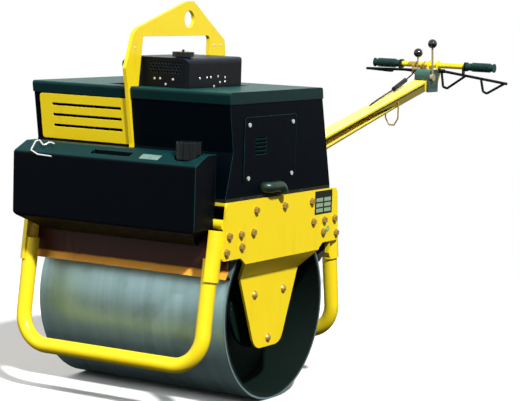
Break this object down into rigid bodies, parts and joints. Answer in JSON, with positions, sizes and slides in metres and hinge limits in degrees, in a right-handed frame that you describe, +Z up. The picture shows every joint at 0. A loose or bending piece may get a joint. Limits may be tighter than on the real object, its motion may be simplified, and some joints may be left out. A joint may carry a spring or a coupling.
{
  "type": "walk-behind vibratory roller",
  "caption": "Walk-behind roller: wide smooth drum, hooded engine, front water tank, tube bumpers, lifting bracket and a long hinged steering rod with handlebar.",
  "frame": {"origin": "on the ground under the middle of the drum's axis", "axes": "+X along the drum's axis to the operator's left, +Y rearward along the steering rod, +Z up"},
  "size_m": [0.7985, 2.2666, 1.241],
  "materials": {
    "yellow_paint": "smooth glossy machine enamel, chipped at the edges",
    "shaded_paint": "same enamel, dusty and stained by water",
    "hood_paint": "semi-gloss black enamel",
    "lid_paint": "semi-gloss black-green enamel",
    "tank_plastic": "moulded black polyethylene, fine orange-peel",
    "cap_plastic": "moulded black plastic",
    "drum_steel": "rolled steel polished by use",
    "drum_paint": "dull black paint, dusty",
    "machined_steel": "turned steel",
    "cast_metal": "rough casting, painted black",
    "zinc_steel": "yellow-passivated zinc",
    "bright_steel": "bright plated",
    "mount_rubber": "moulded rubber",
    "seal_rubber": "cellular rubber strip",
    "grip_rubber": "ribbed soft rubber",
    "cowl_plastic": "textured black moulding",
    "exhaust_metal": "heat-tinted sheet steel",
    "console_paint": "hammered grey-green enamel",
    "lever_metal": "plated stem with a black ball",
    "bail_paint": "black paint worn at the bends",
    "cable_sheath": "black plastic sheath",
    "scraper_rubber": "hard rubber strip, worn"
  },
  "bodies": {
    "frame": {"side_plate_left": "yellow_paint", "side_plate_right": "yellow_paint", "front_cross_panel": "shaded_paint", "rear_cross_panel": "shaded_paint", "front_bumper": "yellow_paint", "rear_bumper": "yellow_paint", "bumper_sleeves": "yellow_paint", "front_scraper": "scraper_rubber", "rear_scraper": "scraper_rubber", "tank_support_bar": "yellow_paint", "engine_deck": "shaded_paint", "frame_bolts": "zinc_steel", "rubber_mounts": "mount_rubber", "mount_bolts": "zinc_steel", "axle_flange_left": "drum_paint", "axle_flange_right": "drum_paint", "travel_motor": "cast_metal", "vibration_motor": "cast_metal", "sprinkler_pipe": "zinc_steel", "lifting_bracket": "yellow_paint", "hood_seal": "seal_rubber", "hood_shell": "hood_paint", "hood_lid": "lid_paint", "slotted_panel": "yellow_paint", "hood_side_cover": "hood_paint", "hood_screws": "bright_steel", "engine_block": "cast_metal", "engine_cylinder": "cast_metal", "engine_cowl": "cowl_plastic", "engine_fuel_tank": "cowl_plastic", "muffler": "exhaust_metal", "exhaust_elbow": "exhaust_metal", "air_cleaner": "cap_plastic", "hydraulic_pump": "cast_metal", "hydraulic_tank": "hood_paint", "water_tank": "tank_plastic", "tank_clip": "bright_steel", "rod_bracket": "yellow_paint", "rod_pivot_pin": "zinc_steel"},
    "drum": {"drum_shell": "drum_steel", "drum_heads": "drum_paint", "drum_hub_left": "drum_paint", "drum_hub_right": "drum_paint"},
    "exciter": {"exciter_shaft": "machined_steel"},
    "drive": {"drive_coupling": "machined_steel"},
    "rod": {"steering_rod": "yellow_paint", "rod_head": "yellow_paint", "console": "console_paint", "handlebar": "yellow_paint", "handle_grips": "grip_rubber", "bail_hangers": "bail_paint", "throttle_clamp": "zinc_steel", "throttle_cable": "cable_sheath"},
    "tank_cap": {"tank_cap": "cap_plastic"},
    "fuel_cap": {"fuel_cap": "cap_plastic"},
    "travel_lever": {"travel_lever": "lever_metal"},
    "throttle_lever": {"throttle_lever": "lever_metal"},
    "bail_left": {"bail_left": "bail_paint"},
    "bail_right": {"bail_right": "bail_paint"},
    "lashing_loop": {"lashing_loop": "zinc_steel"}
  },
  "joints": [
    {"name": "drum_spin", "type": "hinge", "parent": "frame", "child": "drum", "pos_m": [0, 0, 0.29], "axis": [1, 0, 0], "continuous": true},
    {"name": "exciter_spin", "type": "hinge", "parent": "frame", "child": "exciter", "pos_m": [0, 0, 0.29], "axis": [1, 0, 0], "continuous": true},
    {"name": "drive_spin", "type": "hinge", "parent": "frame", "child": "drive", "pos_m": [0, -0.0725, 0.725], "axis": [1, 0, 0], "continuous": true},
    {"name": "rod_fold", "type": "hinge", "parent": "frame", "child": "rod", "pos_m": [0, 0.385, 0.632], "axis": [1, 0, 0], "range_deg": [0, 75]},
    {"name": "tank_cap_turn", "type": "hinge", "parent": "frame", "child": "tank_cap", "pos_m": [0.275, -0.384, 0.778], "axis": [0, 0, 1], "range_deg": [0, 90]},
    {"name": "fuel_cap_turn", "type": "hinge", "parent": "frame", "child": "fuel_cap", "pos_m": [0.128, -0.212, 1.073], "axis": [0, 0, 1], "range_deg": [0, 90]},
    {"name": "travel_lever_swing", "type": "hinge", "parent": "rod", "child": "travel_lever", "pos_m": [0.038, 1.65375, 0.95695], "axis": [1, 0, 0], "range_deg": [-35, 35]},
    {"name": "throttle_lever_swing", "type": "hinge", "parent": "rod", "child": "throttle_lever", "pos_m": [-0.056, 1.70575, 0.98395], "axis": [1, 0, 0], "range_deg": [-10, 50]},
    {"name": "bail_left_swing", "type": "hinge", "parent": "rod", "child": "bail_left", "pos_m": [0.036, 1.73475, 0.97995], "axis": [1, 0, 0], "range_deg": [0, 90]},
    {"name": "bail_right_swing", "type": "hinge", "parent": "rod", "child": "bail_right", "pos_m": [-0.036, 1.73475, 0.97995], "axis": [1, 0, 0], "range_deg": [-80, 10]},
    {"name": "lashing_loop_swing", "type": "hinge", "parent": "rod", "child": "lashing_loop", "pos_m": [0, 1.39793, 0.86772], "axis": [1, 0, 0], "range_deg": [-15, 40]}
  ]
}
